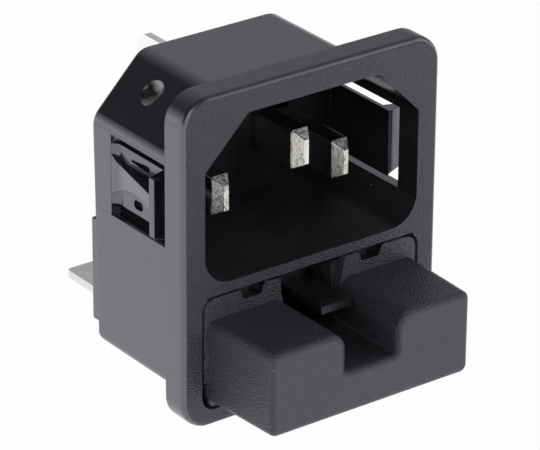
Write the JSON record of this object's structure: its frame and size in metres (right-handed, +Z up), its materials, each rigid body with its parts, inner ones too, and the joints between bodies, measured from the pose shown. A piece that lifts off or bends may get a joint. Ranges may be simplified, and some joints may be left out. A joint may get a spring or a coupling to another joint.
{
  "type": "appliance inlet with fuse drawer",
  "caption": "Snap-in appliance power inlet: earthed flat-pin socket in a flanged black body, with a pull-out fuse drawer below and flat tabs behind.",
  "frame": {"origin": "centre of the body in the panel plane, which is the back face of the flange", "axes": "-Y points out of the front of the inlet, +Z is up with the earth pin uppermost, +X is to the right seen from the front"},
  "size_m": [0.0296, 0.0377, 0.0337],
  "materials": {
    "body_plastic": "gloss black moulding",
    "drawer_plastic": "fine matte black moulding",
    "pin_nickel": "satin nickel plate",
    "contact_bronze": "plain spring bronze",
    "fuse_glass": "clear",
    "fuse_nickel": "bright nickel plate"
  },
  "bodies": {
    "inlet": {"housing": "body_plastic", "rear_cover": "body_plastic", "line_pin": "pin_nickel", "neutral_pin": "pin_nickel", "earth_contact": "pin_nickel", "line_input_contact": "contact_bronze", "neutral_input_contact": "contact_bronze", "line_load_terminal": "pin_nickel", "neutral_load_terminal": "pin_nickel"},
    "drawer": {"fuse_drawer": "drawer_plastic", "line_drawer_contact": "contact_bronze", "neutral_drawer_contact": "contact_bronze", "line_fuse_tube": "fuse_glass", "neutral_fuse_tube": "fuse_glass", "line_fuse_front_cap": "fuse_nickel", "line_fuse_rear_cap": "fuse_nickel", "neutral_fuse_front_cap": "fuse_nickel", "neutral_fuse_rear_cap": "fuse_nickel", "line_fuse_wire": "fuse_nickel", "neutral_fuse_wire": "fuse_nickel"}
  },
  "joints": [
    {"name": "drawer_slide", "type": "slide", "parent": "inlet", "child": "drawer", "axis": [0, -1, 0], "range_m": [0, 0.0125]}
  ]
}
